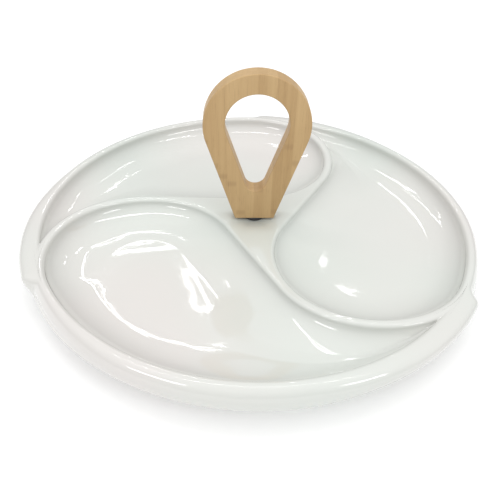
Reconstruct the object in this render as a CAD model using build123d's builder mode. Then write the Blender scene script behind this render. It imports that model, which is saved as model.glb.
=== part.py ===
"""Chip and dip server: a glazed pinwheel dish with three comma-shaped bowls and a
bamboo loop handle, clamped through the hub by one screw from below.

Millimetres, +Z up. The origin is on the screw's axis, in the plane that the foot
ring stands on. The front of the dish is towards -Y.
"""

import os
from math import acos, asin, atan2, cos, hypot, pi, radians, sin, sqrt

from build123d import *

os.makedirs("parts", exist_ok=True)

# --- Dish, overall -----------------------------------------------------------------
bowl_count = 3
rim_radius = 142.0  # middle of the outer rim's crest
first_bowl_angle = -27.2  # direction from the axis to the head of the first bowl
crest_flat = 1.5  # flat on top of the rim, each side of the crest
band_width = 6.5  # from the crest out to the widest part of the rim
band_height = 9.5  # from the crest down to the widest part of the rim
lip_height = 5.5  # depth of the rounded lip below the widest part
lip_width = 5.5

# --- Bowls -------------------------------------------------------------------------
divider_half = 3.6  # half the width of a divider between two bowls, at crest height
bowl_depth = 16.0  # crest of the rim down to a bowl's flat floor
wall_run = 32.0  # how far a bowl's wall comes in between its edge and its floor
tail_radius = 3.0  # tip of the tail at the edge
tail_growth = 5.0  # by how much the tip is rounder at the floor

# --- Hub, in the middle between the bowls --------------------------------------------
hub_drop = 4.0  # the hub is this much lower than the rim's crest
hub_flat_radius = 34.0
hub_line_offset = 19.4  # axis to the straight middle line of a divider
hub_wall = 7.0  # thickness of ceramic that the screw clamps
recess_top_radius = 15.0  # hollow under the hub, for the screw's head
recess_mouth_radius = 19.0
screw_hole_clearance = 0.75  # round the screw, in the glazed hole

# --- Thumb flanges, one where each bowl's tail ends ----------------------------------
flange_reach = 10.0  # from the crest's middle out to the flange's tip
flange_offset = 12.0  # how far the flange's arc is centred towards its tip
flange_top_drop = 1.0
flange_thickness = 8.0
flange_corner = 6.0
flange_span = 52.0  # degrees of rim that a flange takes to grow
flange_tip_angle = -4.8  # degrees from a bowl head's direction back to the flange end
flange_edge_round = 2.4

# --- Foot --------------------------------------------------------------------------
floor_thickness = 6.0
foot_height = 7.0
foot_radius = 100.0  # middle of the ring that the dish stands on
foot_width = 7.0

# --- Handle ------------------------------------------------------------------------
handle_turn = 3.5  # the handle's plane is turned this far about the screw
handle_thickness = 11.1
handle_top_radius = 32.7
handle_top_centre = 65.8  # height of that arc's centre above the handle's base
handle_base_width = 26.2
loop_top_radius = 19.5
loop_top_centre = 66.9
loop_bottom_radius = 7.0
loop_bottom_centre = 28.3
handle_edge_round = 0.8

# --- Clamp -------------------------------------------------------------------------
screw_diameter = 5.0
screw_length = 22.0  # under the head
thread_pitch = 0.8
thread_clearance = 0.05  # plain stand-in for the thread, per side
insert_diameter = 7.0
insert_length = 12.0
insert_set_back = 0.5  # the insert sits this much inside the handle's base
insert_hole_spare = 1.0  # depth of the hole past the insert
gasket_diameter = 12.8
gasket_thickness = 2.0
gasket_gap = 0.05  # under the gasket, so that the handle can turn
cushion_diameter = 20.0
cushion_thickness = 1.5
washer_diameter = 18.0
washer_thickness = 1.2
washer_clearance = 0.3  # round the screw
head_diameter = 9.5
head_height = 3.2
cross_width = 1.1
cross_length = 4.6
cross_depth = 1.9

# --- Derived -----------------------------------------------------------------------
underside = foot_height
bowl_floor = underside + floor_thickness
rim_height = bowl_floor + bowl_depth
bowl_step = 360 / bowl_count
# A divider's middle line is a straight stretch by the hub and then an arc round the
# next bowl's head, which touches the rim's circle from inside.
head_radius = 2 * sqrt(3) * sqrt(rim_radius**2 - hub_line_offset**2) - 3 * rim_radius
head_distance = rim_radius - head_radius

hub_top = rim_height - hub_drop
recess_ceiling = hub_top - hub_wall
screw_radius = screw_diameter / 2
screw_hole_radius = screw_radius + screw_hole_clearance
handle_base = hub_top + gasket_gap + gasket_thickness
head_top = recess_ceiling - cushion_thickness - washer_thickness


def on_circle(centre, radius, angle):
    """The point on a circle at an angle in radians."""
    return (centre[0] + radius * cos(angle), centre[1] + radius * sin(angle))


def bearing(start, end):
    """The direction from one point to another, in radians."""
    return atan2(end[1] - start[1], end[0] - start[0])


def arc_points(centre, radius, start, end):
    """Start, middle and end of an arc."""
    return [on_circle(centre, radius, start + (end - start) * share) for share in (0, 0.5, 1)]


def bowl_edge(inset, tip_radius):
    """Points for the five edges of the first bowl's outline, inset from the dividers'
    middle lines: rim, tail tip, next bowl's head, straight stretch, own head."""
    own = radians(first_bowl_angle)
    following = own + radians(bowl_step)
    own_centre = on_circle((0, 0), head_distance, own)
    next_centre = on_circle((0, 0), head_distance, following)
    inner_radius = head_radius - inset
    outer_radius = head_radius + inset
    rim_arc_radius = rim_radius - inset

    # The tail's tip touches the rim's arc from inside and the next head's from outside.
    tip_distance = rim_arc_radius - tip_radius
    tip_to_next = outer_radius + tip_radius
    tip_turn = acos(
        (tip_distance**2 + head_distance**2 - tip_to_next**2)
        / (2 * tip_distance * head_distance)
    )
    tip_bearing = following - tip_turn
    tip_centre = on_circle((0, 0), tip_distance, tip_bearing)
    tip_end = bearing(tip_centre, next_centre) % (2 * pi)
    next_start = bearing(next_centre, tip_centre) % (2 * pi)

    # The straight stretch is the inner tangent of the two heads' arcs.
    centre_line = bearing(own_centre, next_centre)
    centre_gap = hypot(next_centre[0] - own_centre[0], next_centre[1] - own_centre[1])
    lean = acos((inner_radius + outer_radius) / centre_gap)
    own_leave = centre_line + lean
    next_leave = centre_line + pi + lean
    while next_leave > next_start:
        next_leave -= 2 * pi
    while tip_end < tip_bearing:
        tip_end += 2 * pi

    return [
        arc_points((0, 0), rim_arc_radius, own, tip_bearing),
        arc_points(tip_centre, tip_radius, tip_bearing, tip_end),
        arc_points(next_centre, outer_radius, next_start, next_leave),
        arc_points(own_centre, inner_radius, own_leave, own + 2 * pi),
    ]


def bowl_section(height, inset, tip_radius):
    """The first bowl's outline as a sketch at a height."""
    rim_arc, tip_arc, next_arc, head_arc = bowl_edge(inset, tip_radius)
    with BuildSketch(Plane.XY.offset(height)) as section:
        with BuildLine():
            ThreePointArc(*rim_arc)
            ThreePointArc(*tip_arc)
            ThreePointArc(*next_arc)
            Line(next_arc[2], head_arc[0])
            ThreePointArc(*head_arc)
        make_face()
    return section.sketch


# Sections of a bowl from above its edge to its floor: a quarter of an ellipse, steep
# at the edge and level at the floor.
wall_angles = (0, 12, 28, 45, 62, 78, 90)
bowl_sections = [bowl_section(rim_height + 1, divider_half - 1, tail_radius)]
for wall_angle in wall_angles[1:]:
    share = 1 - cos(radians(wall_angle))
    bowl_sections.append(
        bowl_section(
            rim_height - bowl_depth * sin(radians(wall_angle)),
            divider_half + wall_run * share,
            tail_radius + tail_growth * share,
        )
    )

with BuildPart() as bowl_space:
    loft(bowl_sections)

# --- Dish --------------------------------------------------------------------------
with BuildPart() as dish:
    widest = rim_radius + band_width
    lip_bottom = (widest - lip_width, rim_height - band_height - lip_height)
    foot_outer = foot_radius + foot_width / 2
    foot_inner = foot_radius - foot_width / 2
    with BuildSketch(Plane.XZ):
        with BuildLine():
            Line((screw_hole_radius, hub_top), (hub_flat_radius, hub_top))
            Spline(
                (hub_flat_radius, hub_top),
                (rim_radius - 2 * band_width, rim_height),
                tangents=[(1, 0), (1, 0)],
            )
            Line((rim_radius - 2 * band_width, rim_height), (rim_radius + crest_flat, rim_height))
            Spline(
                (rim_radius + crest_flat, rim_height),
                (widest, rim_height - band_height),
                tangents=[(1, -0.15), (0, -1)],
            )
            Spline(
                (widest, rim_height - band_height),
                lip_bottom,
                (foot_outer, underside),
                tangents=[(0, -1), (-1, 0)],
            )
            Polyline(
                (foot_outer, underside),
                (foot_outer, 0),
                (foot_inner, 0),
                (foot_inner, underside),
                (recess_mouth_radius, underside),
                (recess_top_radius, recess_ceiling),
                (screw_hole_radius, recess_ceiling),
                (screw_hole_radius, hub_top),
            )
        make_face()
    revolve(axis=Axis.Z)

    # Thumb flanges: an arc that leaves the rim slowly and ends in a round corner.
    flange_tip = first_bowl_angle + flange_tip_angle
    flange_radius = rim_radius + flange_reach - flange_offset
    flange_centre = on_circle((0, 0), flange_offset, radians(flange_tip))
    flange_root = rim_radius - divider_half
    flange_middle = (flange_root + widest) / 2
    with BuildSketch(Plane.XY.offset(rim_height - flange_top_drop - flange_thickness)) as flange_plan:
        with BuildLine():
            outer_arc = arc_points(
                flange_centre, flange_radius, radians(flange_tip - flange_span), radians(flange_tip)
            )
            inner_arc = arc_points(
                (0, 0), flange_middle - band_width, radians(flange_tip), radians(flange_tip - flange_span)
            )
            ThreePointArc(*outer_arc)
            Line(outer_arc[2], inner_arc[0])
            ThreePointArc(*inner_arc)
            Line(inner_arc[2], outer_arc[0])
        make_face()
        fillet(flange_plan.vertices().sort_by_distance(outer_arc[2])[0], flange_corner)
    with BuildPart(mode=Mode.PRIVATE) as flange:
        extrude(flange_plan.sketch, flange_thickness)
        top_and_bottom = flange.faces().filter_by(Axis.Z)
        fillet(
            [
                edge
                for edge in top_and_bottom.edges()
                if hypot(edge.center().X, edge.center().Y) > widest - band_width / 2
                and edge.geom_type == GeomType.CIRCLE
            ],
            flange_edge_round,
        )
    with PolarLocations(0, bowl_count):
        add(flange.part)
        add(bowl_space.part, mode=Mode.SUBTRACT)

dish.part.label = "dish"

# --- Handle ------------------------------------------------------------------------
# A flat teardrop loop that stands on its narrow end, sawn from one board.
across = (cos(radians(handle_turn)), sin(radians(handle_turn)), 0)
outward = (sin(radians(handle_turn)), -cos(radians(handle_turn)), 0)
board = Plane(origin=(0, 0, handle_base), x_dir=across, z_dir=outward)
base_corner = (handle_base_width / 2, 0)
top_centre = (0, handle_top_centre)
# Sides of the handle run from the base's corners to touch the top's arc, and sides of
# the loop touch both of its arcs.
side_touch = bearing(top_centre, base_corner) + acos(
    handle_top_radius / hypot(base_corner[0], handle_top_centre)
)
loop_touch = asin((loop_bottom_radius - loop_top_radius) / (loop_top_centre - loop_bottom_centre))
top_arc = arc_points(top_centre, handle_top_radius, side_touch, pi - side_touch)
loop_top_arc = arc_points((0, loop_top_centre), loop_top_radius, loop_touch, pi - loop_touch)
loop_bottom_arc = arc_points(
    (0, loop_bottom_centre), loop_bottom_radius, pi - loop_touch, 2 * pi + loop_touch
)
with BuildPart() as handle:
    with BuildSketch(board):
        with BuildLine():
            Line(base_corner, top_arc[0])
            ThreePointArc(*top_arc)
            Polyline(top_arc[2], (-base_corner[0], 0), base_corner)
        make_face()
        with BuildLine():
            ThreePointArc(*loop_top_arc)
            Line(loop_top_arc[2], loop_bottom_arc[0])
            ThreePointArc(*loop_bottom_arc)
            Line(loop_bottom_arc[2], loop_top_arc[0])
        make_face(mode=Mode.SUBTRACT)
    extrude(amount=handle_thickness / 2, both=True)
    front_and_back = handle.faces().filter_by(Axis((0, 0, 0), outward))
    outlines = [edge for edge in front_and_back.edges() if edge.center().Z > handle_base + 0.1]
    fillet(outlines, handle_edge_round)
    with Locations(Plane(origin=(0, 0, handle_base), z_dir=(0, 0, -1))):
        Hole(insert_diameter / 2, depth=insert_set_back + insert_length + insert_hole_spare)
handle.part.label = "handle"

with BuildPart() as threaded_insert:
    with BuildSketch(Plane.XY.offset(handle_base + insert_set_back)):
        Circle(insert_diameter / 2)
        Circle(screw_radius + thread_clearance, mode=Mode.SUBTRACT)
    extrude(amount=insert_length)
threaded_insert.part.label = "threaded_insert"

# --- Clamp -------------------------------------------------------------------------
washer_hole_radius = screw_radius + washer_clearance


def ring(bottom, thickness, diameter, edge):
    """A flat washer round the screw, with its outer edges rounded."""
    with BuildPart() as washer:
        with BuildSketch(Plane.XY.offset(bottom)):
            Circle(diameter / 2)
            Circle(washer_hole_radius, mode=Mode.SUBTRACT)
        extrude(amount=thickness)
        fillet(washer.edges().group_by(SortBy.LENGTH)[-1], edge)
    return washer.part


handle_gasket = ring(hub_top + gasket_gap, gasket_thickness, gasket_diameter, gasket_thickness / 4)
handle_gasket.label = "handle_gasket"

cushion_washer = ring(
    recess_ceiling - cushion_thickness, cushion_thickness, cushion_diameter, cushion_thickness / 5
)
cushion_washer.label = "cushion_washer"

steel_washer = ring(head_top, washer_thickness, washer_diameter, washer_thickness / 6)
steel_washer.label = "steel_washer"

with BuildPart() as clamp_screw:
    with BuildSketch(Plane.XY.offset(head_top - head_height)):
        Circle(head_diameter / 2)
    extrude(amount=head_height)
    fillet(clamp_screw.edges().sort_by(Axis.Z)[0], head_height / 3)
    with BuildSketch(Plane.XY.offset(head_top)):
        Circle(screw_radius)
    extrude(amount=screw_length)
    chamfer(clamp_screw.edges().sort_by(Axis.Z)[-1], thread_pitch / 2)
    with BuildSketch(Plane.XY.offset(head_top - head_height)):
        Rectangle(cross_length, cross_width)
        Rectangle(cross_width, cross_length)
    extrude(amount=cross_depth, mode=Mode.SUBTRACT)
clamp_screw.part.label = "clamp_screw"

# --- Files -------------------------------------------------------------------------
for piece in (
    dish.part,
    handle.part,
    threaded_insert.part,
    handle_gasket,
    cushion_washer,
    steel_washer,
    clamp_screw.part,
):
    export_step(piece, f"parts/{piece.label}.step")
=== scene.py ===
"""Chip and dip server: a glazed pinwheel dish with three bowls, and a bamboo loop
handle that one screw clamps to the hub.

Metres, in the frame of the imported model: +Z up, the origin on the screw's axis in the
plane that the foot ring stands on, the front towards -Y.
"""

from math import acos, atan2, cos, pi, radians, sin, sqrt

import bmesh
import bpy
from bpy.props import FloatProperty, FloatVectorProperty, PointerProperty
from bpy.types import Operator, Panel, PropertyGroup
from mathutils import Matrix, Vector
from mathutils.geometry import interpolate_bezier


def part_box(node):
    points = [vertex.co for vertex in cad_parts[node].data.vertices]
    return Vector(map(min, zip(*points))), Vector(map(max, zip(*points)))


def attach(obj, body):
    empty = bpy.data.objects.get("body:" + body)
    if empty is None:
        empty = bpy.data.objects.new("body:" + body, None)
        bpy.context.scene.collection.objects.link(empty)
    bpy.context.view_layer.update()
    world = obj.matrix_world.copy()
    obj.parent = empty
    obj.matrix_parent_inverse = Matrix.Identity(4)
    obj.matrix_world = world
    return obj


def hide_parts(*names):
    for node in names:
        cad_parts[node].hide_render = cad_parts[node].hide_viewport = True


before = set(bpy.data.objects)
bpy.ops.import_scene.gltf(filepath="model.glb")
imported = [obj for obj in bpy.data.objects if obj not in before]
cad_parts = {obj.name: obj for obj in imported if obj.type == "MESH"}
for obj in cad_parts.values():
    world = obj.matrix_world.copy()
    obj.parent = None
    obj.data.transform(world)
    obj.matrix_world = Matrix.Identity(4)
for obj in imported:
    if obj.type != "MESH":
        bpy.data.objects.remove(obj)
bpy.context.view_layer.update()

bl_info = {
    "name": "Chip and dip server",
    "version": (1, 0, 0),
    "blender": (4, 5, 0),
    "location": "View3D > Sidebar > Server",
    "description": "Builds a glazed pinwheel dish with a bamboo loop handle",
    "category": "Object",
}

BOWLS = 3
BOWL_STEP = 2 * pi / BOWLS
MILLIMETRE = 0.001
RIM_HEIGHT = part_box("dish")[1][2]
GASKET_GAP = 0.05 * MILLIMETRE
HUB_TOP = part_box("handle_gasket")[0][2] - GASKET_GAP
RECESS_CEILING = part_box("cushion_washer")[1][2]

# The dish's unseen side, in metres. Radii are from the screw's axis.
LIP_OUT = 0.001  # from the rim's crest to the bottom of its lip
LIP_DROP = 0.0165  # from the rim's crest down to there
UNDERSIDE = 0.0070
FOOT_OUTER = 0.1035
FOOT_INNER = 0.0965
FOOT_ROUND = 0.0010
RECESS_MOUTH = 0.0205  # radius of the hollow's mouth, past its rounding
RECESS_TOP = 0.0138  # radius of the hollow's flat ceiling
RECESS_ROUND = 0.0012
SCREW_HOLE = 0.00325
HOLE_FLARE = 0.0006

# The sky's brightness: at the horizon to the sides, how much it grows to straight up,
# how much it falls from front to back, and the least it may be.
SKY_HORIZON, SKY_RISE, SKY_FALL, SKY_LEAST = 0.31, 1.02, 0.10, 0.05
# A lamp of this power for each square metre looks 1 bright.
LAMP_POWER = 4


# --- Sizes and colours ----------------------------------------------------------------
def length(name, description, default):
    """A size in metres."""
    return FloatProperty(name=name, description=description, default=default, unit="LENGTH")


def angle(name, description, degrees):
    """An angle, given in degrees."""
    return FloatProperty(
        name=name, description=description, default=radians(degrees), subtype="ANGLE"
    )


def colour(name, description, default):
    """A colour, red, green and blue."""
    return FloatVectorProperty(
        name=name, description=description, default=default, size=3, min=0, max=1, subtype="COLOR"
    )


def plain(name, description, default):
    """A number without a unit."""
    return FloatProperty(name=name, description=description, default=default)


class DishSettings(PropertyGroup):
    """Sizes and colours of the dish"""

    rim_radius: length("Rim radius", "Axis to the middle of the rim's crest", 0.142)
    hub_line_offset: length(
        "Divider offset", "Axis to the straight middle line of a divider", 0.0194
    )
    first_bowl_angle: angle("First bowl", "Direction of the head of the first bowl", -27.2)
    crest_half: length("Crest flat", "Half of the level strip on top of a divider", 0.0006)
    crest_round: length("Crest rounding", "Radius between a crest and a bowl's wall", 0.0026)
    wall_run: length("Wall run", "How far a wall comes in before the floor is level", 0.032)
    bowl_depth: length("Bowl depth", "Crest of the rim down to a bowl's floor", 0.016)
    tip_round: length("Tail rounding", "Radius of a tail's tip at the foot of its wall", 0.008)
    tail_fade: length("Tail slope", "How far from its tip a tail becomes shallow", 0.085)
    tail_rise: plain("Tail rise", "How much shallower a tail is at its tip, as a share", 0.6)
    slope_start: length("Hub edge", "Radius at which the dividers begin to rise", 0.072)
    slope_end: length("Slope's end", "Radius at which the dividers meet the rim's height", 0.136)
    band_radius: length("Band radius", "Axis to the widest part of the plain rim", 0.1485)
    flange_radius: length("Flange radius", "Axis to the tip of a thumb flange", 0.1516)
    flange_tip: angle("Flange end", "From a bowl head's direction to the flange's end", -4.8)
    flange_span: angle("Flange span", "How much of the rim a flange takes to grow", 46)
    notch_span: angle("Notch span", "How much of the rim the flange's end takes", 4.6)
    notch_fade: angle("Notch fade", "How much of the rim the notch takes to fade", 34)
    notch_depth: plain("Notch depth", "Depth of the notch as a share of the flange", 0.42)
    glaze: colour("Glaze", "Colour of the glaze", (0.640, 0.648, 0.620))
    clay: colour("Clay", "Colour of the bare foot", (0.66, 0.60, 0.50))


class HandleSettings(PropertyGroup):
    """Look of the handle"""

    turn: angle("Turn", "Turn of the handle's board about the screw", 3.5)
    strip_width: length("Strip width", "Width of one bamboo strip in the board", 0.0058)
    light: colour("Light bamboo", "Colour of the pale strips", (0.55, 0.375, 0.182))
    dark: colour("Dark bamboo", "Colour of the dark strips", (0.44, 0.280, 0.124))
    fibre: colour("Fibres", "Colour of the fibre bundles", (0.29, 0.172, 0.075))


class ClampSettings(PropertyGroup):
    """Colours of the clamp's pieces"""

    rubber: colour("Rubber", "Gasket under the handle", (0.018, 0.018, 0.02))
    silicone: colour("Silicone", "Washer against the glaze", (0.62, 0.62, 0.58))
    steel: colour("Steel", "Screw and washer", (0.62, 0.61, 0.60))
    brass: colour("Brass", "Threaded insert", (0.72, 0.52, 0.24))


class StageSettings(PropertyGroup):
    """Camera, floor and lights"""

    lens: plain("Lens", "Focal length in millimetres", 38.23)
    distance: length("Distance", "Camera to the middle of the rim", 0.3615)
    elevation: angle("Elevation", "Camera above the rim", 35.33)
    pan: angle("Pan", "Turn of the camera to the right", -0.29)
    tilt: angle("Tilt", "Turn of the camera upwards", -4.25)
    roll: angle("Roll", "Turn of the camera about its view", 2.01)
    floor_colour: colour("Floor", "Colour of the floor", (0.80, 0.80, 0.80))
    floor_glow: plain("Floor glow", "Light that the paper lets through", 0.20)
    floor_size: length("Floor size", "Half the side of the floor", 12.0)
    sky: plain("Sky", "Strength of the light from all round", 1.03)
    lamps: plain("Lamps", "Strength of the soft lamps", 1.0)


# --- Materials ------------------------------------------------------------------------
class Value:
    """A number in a material. Arithmetic on it adds Math nodes."""

    def __init__(self, socket):
        self.socket = socket

    def maths(self, operation, first, second):
        tree = self.socket.id_data
        node = tree.nodes.new("ShaderNodeMath")
        node.operation = operation
        for slot, value in zip(node.inputs, (first, second)):
            if isinstance(value, Value):
                tree.links.new(value.socket, slot)
            else:
                slot.default_value = value
        return Value(node.outputs[0])

    def __add__(self, other):
        return self.maths("ADD", self, other)

    __radd__ = __add__

    def __sub__(self, other):
        return self.maths("SUBTRACT", self, other)

    def __rsub__(self, other):
        return self.maths("SUBTRACT", other, self)

    def __mul__(self, other):
        return self.maths("MULTIPLY", self, other)

    __rmul__ = __mul__

    def __truediv__(self, other):
        return self.maths("DIVIDE", self, other)

    def __pow__(self, other):
        return self.maths("POWER", self, other)

    def __gt__(self, other):
        return self.maths("GREATER_THAN", self, other)

    def __lt__(self, other):
        return self.maths("LESS_THAN", self, other)

    def floor(self):
        return self.maths("FLOOR", self, 0)

    def remainder(self):
        return self.maths("FRACT", self, 0)

    def at_least(self, other):
        return self.maths("MAXIMUM", self, other)


class Finish:
    """A material, built node by node round its Principled shader."""

    def __init__(self, name, **constants):
        self.material = bpy.data.materials.new(name)
        self.material.use_nodes = True
        self.tree = self.material.node_tree
        self.shader = self.tree.nodes["Principled BSDF"]
        self.place = self.node("ShaderNodeTexCoord").outputs["Object"]
        for slot, value in constants.items():
            self.shader.inputs[slot.replace("_", " ")].default_value = value

    def node(self, kind, settings=None, values=None):
        """Adds a node; settings are set first, then the sockets' values or links."""
        node = self.tree.nodes.new(kind)
        for name, value in (settings or {}).items():
            if name == "stops":
                set_stops(node.color_ramp, value)
            else:
                setattr(node, name, value)
        for name, value in (values or {}).items():
            self.feed(node.inputs[name], value)
        return node

    def feed(self, slot, value):
        """Links a value to a socket, or sets it there."""
        if isinstance(value, Value):
            value = value.socket
        if isinstance(value, bpy.types.NodeSocket):
            self.tree.links.new(value, slot)
        else:
            slot.default_value = value

    def moved(self, scale=(1, 1, 1), turn=0.0, shift=(0, 0, 0)):
        """Object coordinates, turned about the screw, stretched and shifted."""
        turned = self.node(
            "ShaderNodeMapping", values={"Vector": self.place, "Rotation": (0, 0, -turn)}
        )
        return self.node(
            "ShaderNodeMapping",
            values={"Vector": turned.outputs[0], "Scale": scale, "Location": shift},
        ).outputs[0]

    def noise(self, where, scale, detail=2.0, roughness=0.5):
        """Smooth noise from 0 to 1 at a place."""
        values = {"Vector": where, "Scale": scale, "Detail": detail, "Roughness": roughness}
        return Value(self.node("ShaderNodeTexNoise", values=values).outputs["Fac"])

    def ramp(self, value, *stops):
        """A value passed through a ramp of (position, brightness) stops."""
        grey = [(at, (level, level, level, 1)) for at, level in stops]
        ramp = self.node("ShaderNodeValToRGB", {"stops": grey}, {"Fac": value})
        return Value(self.node("ShaderNodeRGBToBW", values={"Color": ramp.outputs[0]}).outputs[0])

    def mixed(self, share, first, second):
        """Two colours mixed by a share of the second."""
        first, second = (
            (*tone, 1) if isinstance(tone, (tuple, bpy.types.bpy_prop_array)) else tone
            for tone in (first, second)
        )
        mix = self.node(
            "ShaderNodeMix", {"data_type": "RGBA"}, {"Factor": share, 6: first, 7: second}
        )
        return mix.outputs[2]

    def surface(self, **inputs):
        """Feeds the shader's sockets."""
        for slot, value in inputs.items():
            self.feed(self.shader.inputs[slot.replace("_", " ")], value)

    def relief(self, height, depth):
        """A height from 0 to 1 as a bump of a depth in metres."""
        bump = self.node(
            "ShaderNodeBump", values={"Height": height, "Distance": depth, "Strength": 1.0}
        )
        self.surface(Normal=bump.outputs[0])


def set_stops(ramp, stops):
    """Gives a colour ramp its stops."""
    while len(ramp.elements) < len(stops):
        ramp.elements.new(1)
    for element, (position, tone) in zip(ramp.elements, stops):
        element.position = position
        element.color = tone


def glaze_finish(look):
    """White glaze that has run a little, bare clay on the foot ring."""
    finish = Finish("white_glaze", IOR=1.52, Coat_Roughness=0.02, Coat_IOR=1.5)
    drift = finish.noise(finish.place, 11, 1)
    tint = finish.noise(finish.moved(shift=(0.3, 0.1, 0)), 7, 1)
    glaze = tuple(look.glaze)
    cool = (glaze[0] * 0.965, glaze[1] * 1.005, glaze[2] * 0.990)
    warm = (glaze[0] * 1.020, glaze[1] * 0.975, glaze[2] * 0.980)
    body = finish.mixed(finish.ramp(tint, (0.35, 0), (0.65, 1)), cool, warm)
    specks = finish.noise(finish.place, 900, 2)
    height = Value(
        finish.node("ShaderNodeSeparateXYZ", values={"Vector": finish.place}).outputs["Z"]
    )
    # The glaze is wiped off the foot to a wavering line about a millimetre up.
    edge = finish.noise(finish.place, 160, 2) * 0.0008 + 0.0007
    bare = height < edge
    clay = finish.mixed(specks, tuple(look.clay), tuple(tone * 0.8 for tone in look.clay))
    finish.surface(
        Base_Color=finish.mixed(bare, body, clay),
        Roughness=0.045 + drift * 0.03 + bare * 0.7,
        Coat_Weight=0.5 - bare * 0.5,
    )
    sag = finish.noise(finish.moved(shift=(0, 0.4, 0)), 9, 0)
    run = finish.noise(finish.place, 27, 1)
    orange_peel = finish.noise(finish.place, 190, 1)
    finish.relief(sag * 0.78 + run * 0.215 + orange_peel * 0.005 + bare * specks * 0.02, 0.004)
    return finish.material


def bamboo_finish(look):
    """Upright bamboo strips with fine fibre bundles and now and then a joint."""
    finish = Finish("bamboo_board", IOR=1.46, Coat_Roughness=0.35)
    board = finish.moved(turn=look.turn)
    parts = finish.node("ShaderNodeSeparateXYZ", values={"Vector": board})
    across, upward = (Value(parts.outputs[axis]) for axis in "XZ")
    wander = finish.noise(finish.moved((40, 40, 9), look.turn), 1, 1) * 0.0016
    strip = ((across + wander) / look.strip_width).floor()
    chance = Value(
        finish.node("ShaderNodeTexWhiteNoise", {"noise_dimensions": "1D"}, {"W": strip}).outputs[0]
    )
    grain = finish.noise(finish.moved((1300, 1300, 26), look.turn), 1, 3, 0.6)
    streak = finish.noise(finish.moved((420, 420, 7), look.turn), 1, 2)
    bundle = finish.noise(finish.moved((1900, 1900, 110), look.turn, (0.2, 0, 0.5)), 1, 2)
    cloud = finish.noise(finish.moved((45, 45, 30), look.turn), 1, 2)
    joint = ((upward * 7 + chance * 3.7).remainder() - 0.5) * 2
    joint = finish.ramp(1 - joint * joint * 900, (0, 0), (1, 1))
    tone = finish.ramp(chance * 0.30 + streak * 0.45 + cloud * 0.35, (0.30, 0), (0.78, 1))
    body = finish.mixed(tone, tuple(look.light), tuple(look.dark))
    fibres = finish.ramp(bundle * 0.6 + grain * 0.4, (0.55, 0), (0.72, 0.55))
    body = finish.mixed(fibres, body, tuple(look.fibre))
    body = finish.mixed(joint * 0.28, body, tuple(look.fibre))
    finish.surface(
        Base_Color=body, Roughness=0.42 + grain * 0.16 + fibres * 0.1, Coat_Weight=0.12
    )
    finish.relief(grain * 0.6 + bundle * 0.3 - joint * 0.2, 0.00008)
    return finish.material


def rubber_finish(name, tone, roughness):
    """Moulded rubber with a fine matt skin."""
    finish = Finish(name, IOR=1.5)
    skin = finish.noise(finish.place, 1400, 3)
    worn = finish.noise(finish.place, 140, 2)
    lighter = tuple(min(1, part * 1.5 + 0.01) for part in tone)
    finish.surface(
        Base_Color=finish.mixed(worn, tuple(tone), lighter), Roughness=roughness + skin * 0.15
    )
    finish.relief(skin, 0.00003)
    return finish.material


def turned_finish(name, tone, roughness):
    """Metal with the fine rings that turning leaves."""
    finish = Finish(name, Metallic=1.0)
    parts = finish.node("ShaderNodeSeparateXYZ", values={"Vector": finish.place})
    side, depth, height = (Value(parts.outputs[axis]) for axis in "XYZ")
    radius = (side * side + depth * depth) ** 0.5
    wave = ((radius + height) * 5200).remainder()
    rings = finish.ramp(wave, (0, 0), (0.5, 1), (1, 0))
    stain = finish.noise(finish.place, 260, 3)
    darker = tuple(part * 0.78 for part in tone)
    finish.surface(
        Base_Color=finish.mixed(stain, tuple(tone), darker),
        Roughness=roughness + stain * 0.16 + rings * 0.04,
    )
    finish.relief(rings, 0.000012)
    return finish.material


def floor_finish(look):
    """Pale matt paper."""
    finish = Finish("pale_floor", IOR=1.3, Roughness=0.9)
    fibre = finish.noise(finish.place, 60, 2)
    paper = tuple(look.floor_colour)
    finish.surface(Base_Color=finish.mixed(fibre, paper, tuple(part * 0.995 for part in paper)))
    finish.shader.inputs["Specular IOR Level"].default_value = 0.0
    finish.shader.inputs["Emission Color"].default_value = (1, 1, 1, 1)
    finish.shader.inputs["Emission Strength"].default_value = look.floor_glow
    return finish.material


# --- Shapes ---------------------------------------------------------------------------
def smooth(share):
    """A share held between 0 and 1 and eased at both ends."""
    share = max(0.0, min(1.0, share))
    return share * share * (3 - 2 * share)


def on_circle(centre, radius, turn):
    """The point on a circle at an angle."""
    return Vector((centre[0] + radius * cos(turn), centre[1] + radius * sin(turn)))


def bearing(start, end):
    """The direction from one point to another."""
    return atan2(end[1] - start[1], end[0] - start[0])


def arc(centre, radius, start, end, shares):
    """Points along an arc at shares of its length."""
    return [on_circle(centre, radius, start + (end - start) * share) for share in shares]


def even(count):
    """Shares of a length in equal steps, without its end."""
    return [step / count for step in range(count)]


def graded(*stretches):
    """Shares in stretches of (start, end, count), without the last end."""
    return [
        start + (end - start) * share for start, end, count in stretches for share in even(count)
    ]


# Steps along a bowl's edge. The rim has more of them by the flange's end.
RIM_STEPS = graded((0, 0.05, 22), (0.05, 0.91, 74), (0.91, 1, 44))
TIP_STEPS = even(10)
HEAD_STEPS = even(104)
STRAIGHT_STEPS = even(44)
NOSE_STEPS = even(50)


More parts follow.
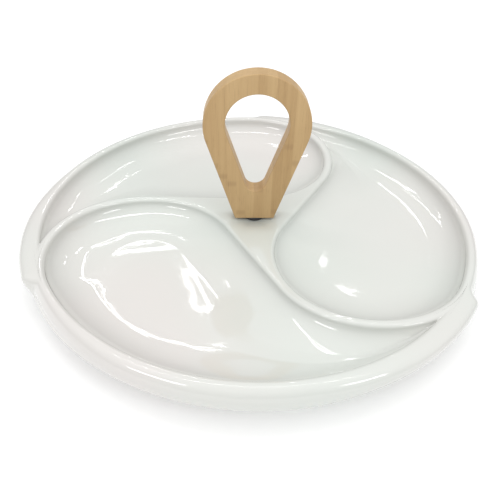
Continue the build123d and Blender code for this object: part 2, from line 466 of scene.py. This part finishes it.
def bowl_edge(size, inset, tip_radius):
    """The first bowl's outline at an inset from the dividers' middle lines: rim, tail
    tip, next head, straight stretch, own head up to and past the next divider."""
    rim = size.rim_radius
    head = 2 * sqrt(3) * sqrt(rim**2 - size.hub_line_offset**2) - 3 * rim
    reach = rim - head
    own = size.first_bowl_angle
    following = own + BOWL_STEP
    own_centre = on_circle((0, 0), reach, own)
    next_centre = on_circle((0, 0), reach, following)

    # The tip touches the rim from inside and the next head from outside.
    tip_reach = rim - inset - tip_radius
    tip_gap = head + inset + tip_radius
    turn = (tip_reach**2 + reach**2 - tip_gap**2) / (2 * tip_reach * reach)
    tip_bearing = following - acos(min(1.0, turn))
    tip_centre = on_circle((0, 0), tip_reach, tip_bearing)
    next_start = following if inset == 0 else bearing(next_centre, tip_centre)
    tip_end = next_start + pi
    while tip_end > tip_bearing + 2 * pi:
        tip_end -= 2 * pi
    while tip_end < tip_bearing:
        tip_end += 2 * pi

    # The straight stretch is the inner tangent of the two heads' circles.
    centre_line = bearing(own_centre, next_centre)
    lean = acos(2 * head / (next_centre - own_centre).length)
    own_leave = centre_line + lean
    next_leave = own_leave + pi
    while next_leave > next_start:
        next_leave -= 2 * pi
    nose_end = own_leave + pi - BOWL_STEP

    straight_start = on_circle(next_centre, head + inset, next_leave)
    straight_end = on_circle(own_centre, head - inset, own_leave)
    return [
        *arc((0, 0), rim - inset, own, tip_bearing, RIM_STEPS),
        *arc(tip_centre, tip_radius, tip_bearing, tip_end, TIP_STEPS),
        *arc(next_centre, head + inset, next_start, next_leave, HEAD_STEPS),
        *(straight_start.lerp(straight_end, share) for share in STRAIGHT_STEPS),
        *arc(own_centre, head - inset, own_leave, nose_end, NOSE_STEPS),
        *arc(own_centre, head - inset, nose_end, own + 2 * pi, HEAD_STEPS),
    ]


def wall_profile(size):
    """(inset, drop, tip radius) from a crest's middle line to a bowl's floor."""
    crest, radius = size.crest_half, size.crest_round
    foot = size.bowl_depth - radius
    profile = [(crest * share, 0.0) for share in (0, 0.35, 0.7)]
    for step in range(9):
        turn = pi / 2 * step / 8
        profile.append((crest + radius * sin(turn), radius * (1 - cos(turn))))
    run = size.wall_run
    for step in range(1, 27):
        turn = pi / 2 * step / 26
        profile.append((crest + radius + run * (1 - cos(turn)), radius + foot * sin(turn)))
    reach = crest + radius + run
    return [
        (inset, drop, inset * 0.02 + size.tip_round * (inset / reach) ** 1.5)
        for inset, drop in profile
    ]


def bezier(start, first, second, end, steps):
    """Points along a curve between two (radius, height) points, without its start."""
    knots = [Vector((*point, 0)) for point in (start, first, second, end)]
    return [tuple(point[:2]) for point in interpolate_bezier(*knots, steps + 1)][1:]


def band_profiles(size):
    """(radius, drop) from the rim's crest round the band to the lip's bottom, for the
    plain rim and for a thumb flange."""
    crest, wide, tip = size.rim_radius, size.band_radius, size.flange_radius
    lip = (crest + LIP_OUT, LIP_DROP)
    plain_side = (wide - 0.0005, 0.0125)
    flange_side = (wide - 0.0008, 0.0112)
    plain_rim = [
        *bezier((crest, 0), (crest + 0.0036, 0), (wide, 0.0035), (wide, 0.0085), 16),
        *bezier((wide, 0.0085), (wide, 0.0100), (wide, 0.0112), plain_side, 5),
        *bezier(plain_side, (wide - 0.0012, 0.0145), (crest + 0.0035, LIP_DROP), lip, 6),
    ]
    flange = [
        *bezier((crest, 0), (crest + 0.0062, 0.0002), (tip, 0.0014), (tip, 0.0048), 16),
        *bezier((tip, 0.0048), (tip, 0.0080), (wide + 0.0010, 0.0094), flange_side, 5),
        *bezier(flange_side, (wide - 0.0012, 0.0145), (crest + 0.0035, LIP_DROP), lip, 6),
    ]
    return plain_rim, flange


def base_profile(size):
    """(radius, height) from the lip's bottom across the foot ring to the screw hole."""
    lip = (size.rim_radius + LIP_OUT, RIM_HEIGHT - LIP_DROP)
    outer, inner, under, edge = FOOT_OUTER, FOOT_INNER, UNDERSIDE, FOOT_ROUND
    ceiling, wall = RECESS_CEILING, RECESS_TOP + 0.0014
    return [
        *bezier(lip, (0.136, lip[1] - 0.0003), (0.120, under), (outer + edge, under), 14),
        *bezier((outer + edge, under), (outer, under), (outer, under), (outer, under - edge), 4),
        (outer, edge),
        *bezier((outer, edge), (outer, 0), (outer, 0), (outer - edge, 0), 4),
        (inner + edge, 0),
        *bezier((inner + edge, 0), (inner, 0), (inner, 0), (inner, edge), 4),
        (inner, under - edge),
        *bezier((inner, under - edge), (inner, under), (inner, under), (inner - edge, under), 4),
        (0.060, under),
        (RECESS_MOUTH, under),
        *bezier(
            (RECESS_MOUTH, under),
            (0.0190, under),
            (0.0190, under),
            (0.0187, under + RECESS_ROUND),
            4,
        ),
        (wall, ceiling - RECESS_ROUND),
        *bezier(
            (wall, ceiling - RECESS_ROUND),
            (0.0150, ceiling),
            (0.0150, ceiling),
            (RECESS_TOP, ceiling),
            4,
        ),
        (0.0040, ceiling),
        (SCREW_HOLE, ceiling + 0.0008),
        (SCREW_HOLE, HUB_TOP - HOLE_FLARE),
        (SCREW_HOLE + HOLE_FLARE, HUB_TOP),
    ]


def flange_share(size, turn):
    """How much of a flange there is at a direction: 1 at its tip, less than 0 in the
    notch behind it."""
    past = (turn - size.first_bowl_angle - size.flange_tip) % BOWL_STEP
    before = BOWL_STEP - past
    if past < size.notch_span:
        return 1 - (1 + size.notch_depth) * smooth(past / size.notch_span)
    fade = -size.notch_depth * (1 - smooth((past - size.notch_span) / size.notch_fade))
    grown = (cos(before) - cos(size.flange_span)) / (1 - cos(size.flange_span))
    return fade + (max(0.0, grown) if before < size.flange_span else 0.0)


def extruded(mesh, line, places, closed=False):
    """Extrudes a line of vertices, moves the new ones to their places and returns them."""
    ends = line[1:] + line[:1] if closed else line[1:]
    edges = [mesh.edges.get(pair) for pair in zip(line, ends)]
    made = set(bmesh.ops.extrude_edge_only(mesh, edges=edges)["geom"])
    following = [
        next(other for edge in vertex.link_edges if (other := edge.other_vert(vertex)) in made)
        for vertex in line
    ]
    for vertex, place in zip(following, places):
        vertex.co = place
    return following


def dish_third(mesh, size):
    """One bowl and the rim outside it."""

    def crest_height(radius):
        rise = smooth((radius - size.slope_start) / (size.slope_end - size.slope_start))
        return HUB_TOP + (RIM_HEIGHT - HUB_TOP) * rise

    def wall_places(inset, drop, tip_radius):
        share = drop / size.bowl_depth
        floor = RIM_HEIGHT - size.bowl_depth
        for point in bowl_edge(size, inset, tip_radius):
            crest = crest_height(point.length)
            rise = 1 - smooth((point - tail_end).length / size.tail_fade)
            deep = share * (1 - size.tail_rise * rise)
            yield (point.x, point.y, crest + (floor - crest) * deep)

    tail_end = on_circle((0, 0), size.rim_radius, size.first_bowl_angle + BOWL_STEP)
    profile = wall_profile(size)
    edge = list(wall_places(*profile[0]))
    crest_line = bmesh.ops.create_circle(mesh, segments=len(edge), radius=size.rim_radius)["verts"]
    for vertex, place in zip(crest_line, edge):
        vertex.co = place
    line = crest_line
    for section in profile[1:]:
        line = extruded(mesh, line, wall_places(*section), closed=True)
    bmesh.ops.contextual_create(
        mesh, geom=[mesh.edges.get(pair) for pair in zip(line, line[1:] + line[:1])]
    )

    # The rim goes on outwards from the crest, and in again below to the screw hole.
    line = crest_line[: len(RIM_STEPS) + 1]
    turns = [size.first_bowl_angle + BOWL_STEP * share for share in (*RIM_STEPS, 1)]
    shares = [flange_share(size, turn) for turn in turns]
    for (radius, drop), (flange_radius, flange_drop) in zip(*band_profiles(size)):
        places = [
            (
                (radius + (flange_radius - radius) * share) * cos(turn),
                (radius + (flange_radius - radius) * share) * sin(turn),
                RIM_HEIGHT - drop - (flange_drop - drop) * share,
            )
            for turn, share in zip(turns, shares)
        ]
        line = extruded(mesh, line, places)
    for radius, height in base_profile(size):
        places = [(radius * cos(turn), radius * sin(turn), height) for turn in turns]
        line = extruded(mesh, line, places)


def finished(name, mesh, material, body):
    """Makes an object of a mesh, smooth all over, and gives it its body and finish."""
    for face in mesh.faces:
        face.smooth = True
    data = bpy.data.meshes.new(name)
    mesh.to_mesh(data)
    mesh.free()
    data.materials.append(material)
    piece = bpy.data.objects.new(name, data)
    bpy.context.collection.objects.link(piece)
    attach(piece, body)
    return piece


def repaint(node, material):
    """Gives a CAD node another material."""
    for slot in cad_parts[node].material_slots:
        slot.material = material


# --- Operators ------------------------------------------------------------------------
class SERVER_OT_dish(Operator):
    """Make the glazed dish"""

    bl_idname = "server.dish"
    bl_label = "Dish"

    def execute(self, context):
        size = context.scene.server_dish
        mesh = bmesh.new()
        dish_third(mesh, size)
        bmesh.ops.spin(
            mesh,
            geom=mesh.verts[:] + mesh.edges[:] + mesh.faces[:],
            cent=(0, 0, 0),
            axis=(0, 0, 1),
            angle=BOWL_STEP * (BOWLS - 1),
            steps=BOWLS - 1,
            use_duplicate=True,
        )
        bmesh.ops.remove_doubles(mesh, verts=mesh.verts, dist=0.02 * MILLIMETRE)
        bmesh.ops.dissolve_degenerate(mesh, edges=mesh.edges, dist=0.005 * MILLIMETRE)
        hub_edges = [edge for edge in mesh.edges if edge.is_boundary]
        bmesh.ops.triangle_fill(mesh, use_beauty=True, edges=hub_edges, normal=(0, 0, 1))
        bmesh.ops.recalc_face_normals(mesh, faces=mesh.faces)
        if not all(edge.is_manifold for edge in mesh.edges):
            raise RuntimeError("the dish's surface isn't closed")
        dish = finished("glazed_dish", mesh, glaze_finish(size), "dish")
        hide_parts("dish")
        return {"FINISHED"}


class SERVER_OT_handle(Operator):
    """Give the handle its bamboo"""

    bl_idname = "server.handle"
    bl_label = "Handle"

    def execute(self, context):
        repaint("handle", bamboo_finish(context.scene.server_handle))
        return {"FINISHED"}


class SERVER_OT_clamp(Operator):
    """Finish the screw, its washers, the insert and the gasket"""

    bl_idname = "server.clamp"
    bl_label = "Clamp"

    def execute(self, context):
        look = context.scene.server_clamp
        repaint("handle_gasket", rubber_finish("black_rubber", look.rubber, 0.62))
        repaint("cushion_washer", rubber_finish("milky_silicone", look.silicone, 0.38))
        repaint("threaded_insert", turned_finish("turned_brass", look.brass, 0.26))
        repaint("steel_washer", turned_finish("stamped_steel", look.steel, 0.30))
        repaint("clamp_screw", turned_finish("screw_steel", look.steel, 0.24))
        return {"FINISHED"}


def strip_lamp(name, start, end, width, brightness):
    """A soft strip of light from one point to another, facing the dish."""
    start, end = Vector(start), Vector(end)
    middle = (start + end) / 2
    along = (end - start).normalized()
    away = (middle - middle.dot(along) * along).normalized()
    light = bpy.data.lights.new(name, "AREA")
    light.shape = "RECTANGLE"
    light.size, light.size_y = (end - start).length, width
    light.energy = brightness * light.size * light.size_y * LAMP_POWER
    holder = bpy.data.objects.new(name, light)
    turn = Matrix((along, away.cross(along), away)).transposed().to_4x4()
    holder.matrix_world = Matrix.Translation(middle) @ turn
    bpy.context.collection.objects.link(holder)


# Name, start, end, width and brightness of each strip lamp.
STRIP_LAMPS = (
    ("top_bar", (-0.55, 0.10, 1.10), (0.55, 0.05, 1.10), 0.016, 20.0),
    ("back_bar", (-0.52, 1.00, 0.92), (-0.20, 1.00, 0.86), 0.010, 18.0),
    ("back_post", (-0.235, 1.00, 0.87), (-0.12, 1.00, 1.22), 0.010, 18.0),
    ("back_high_bar", (-0.38, 1.00, 1.27), (-0.11, 1.00, 1.34), 0.018, 16.0),
    ("back_short_post", (0.14, 1.00, 1.19), (0.145, 1.00, 1.36), 0.020, 16.0),
    ("back_hook", (0.225, 1.00, 0.87), (0.225, 1.00, 0.91), 0.014, 16.0),
    ("back_low_bar", (0.31, 1.00, 1.01), (0.38, 1.00, 1.05), 0.014, 16.0),
    ("front_left", (-0.90, -0.75, 0.80), (-0.50, -0.95, 0.85), 0.16, 7.0),
    ("front_right", (0.60, -0.80, 0.80), (0.90, -0.55, 0.85), 0.16, 7.0),
)


class SERVER_OT_stage(Operator):
    """Make the floor, the lights and the camera"""

    bl_idname = "server.stage"
    bl_label = "Stage"

    def execute(self, context):
        look = context.scene.server_stage
        self.make_floor(context, look)
        self.make_lights(context, look)
        self.make_camera(context, look)
        return {"FINISHED"}

    def make_floor(self, context, look):
        mesh = bmesh.new()
        bmesh.ops.create_grid(mesh, x_segments=1, y_segments=1, size=look.floor_size)
        data = bpy.data.meshes.new("floor")
        mesh.to_mesh(data)
        mesh.free()
        data.materials.append(floor_finish(look))
        floor = bpy.data.objects.new("floor", data)
        context.collection.objects.link(floor)

    def make_lights(self, context, look):
        world = bpy.data.worlds.new("white_room")
        world.use_nodes = True
        tree = world.node_tree
        direction = tree.nodes.new("ShaderNodeTexCoord").outputs["Generated"]
        parts = tree.nodes.new("ShaderNodeSeparateXYZ")
        tree.links.new(direction, parts.inputs[0])
        background = tree.nodes["Background"]
        background.inputs["Color"].default_value = (1, 1, 1, 1)
        upward, backward = Value(parts.outputs["Z"]), Value(parts.outputs["Y"])
        brightness = upward * SKY_RISE - backward * SKY_FALL + SKY_HORIZON
        brightness = brightness.at_least(SKY_LEAST) * look.sky
        tree.links.new(brightness.socket, background.inputs["Strength"])
        context.scene.world = world
        for name, start, end, width, brightness in STRIP_LAMPS:
            strip_lamp(name, start, end, width, brightness * look.lamps)

    def make_camera(self, context, look):
        camera = bpy.data.cameras.new("camera")
        camera.lens = look.lens
        camera.sensor_width = 36.0
        camera.clip_start = 0.01
        holder = bpy.data.objects.new("camera", camera)
        eye = Vector(
            (0, -look.distance * cos(look.elevation), look.distance * sin(look.elevation))
        )
        level = Vector((1, 0, 0))
        ahead = Vector((0, cos(look.elevation), -sin(look.elevation)))
        above = level.cross(ahead)
        view = (
            ahead * cos(look.pan) * cos(look.tilt)
            + level * sin(look.pan) * cos(look.tilt)
            + above * sin(look.tilt)
        )
        side = view.cross(above).normalized()
        top = side.cross(view)
        right = side * cos(look.roll) + top * sin(look.roll)
        upward = -side * sin(look.roll) + top * cos(look.roll)
        turn = Matrix((right, upward, -view)).transposed().to_4x4()
        holder.matrix_world = Matrix.Translation(eye + Vector((0, 0, RIM_HEIGHT))) @ turn
        context.collection.objects.link(holder)
        context.scene.camera = holder
        context.scene.view_settings.view_transform = "Standard"


class SERVER_PT_panel(Panel):
    """Pieces of the server in the sidebar"""

    bl_idname = "SERVER_PT_panel"
    bl_label = "Chip and dip server"
    bl_space_type = "VIEW_3D"
    bl_region_type = "UI"
    bl_category = "Server"

    def draw(self, context):
        for operator, settings in STEPS:
            box = self.layout.box()
            group = getattr(context.scene, settings)
            for name in group.bl_rna.properties.keys():
                if name not in ("rna_type", "name"):
                    box.prop(group, name)
            box.operator(operator)


STEPS = (
    ("server.dish", "server_dish"),
    ("server.handle", "server_handle"),
    ("server.clamp", "server_clamp"),
    ("server.stage", "server_stage"),
)
SETTINGS = {
    "server_dish": DishSettings,
    "server_handle": HandleSettings,
    "server_clamp": ClampSettings,
    "server_stage": StageSettings,
}
CLASSES = (
    *SETTINGS.values(),
    SERVER_OT_dish,
    SERVER_OT_handle,
    SERVER_OT_clamp,
    SERVER_OT_stage,
    SERVER_PT_panel,
)


def register():
    for item in CLASSES:
        bpy.utils.register_class(item)
    for name, group in SETTINGS.items():
        setattr(bpy.types.Scene, name, PointerProperty(type=group))


def unregister():
    for name in SETTINGS:
        delattr(bpy.types.Scene, name)
    for item in reversed(CLASSES):
        bpy.utils.unregister_class(item)


def main():
    """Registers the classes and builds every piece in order."""
    register()
    for operator, _ in STEPS:
        group, name = operator.split(".")
        getattr(getattr(bpy.ops, group), name)()


if __name__ == "__main__":
    main()
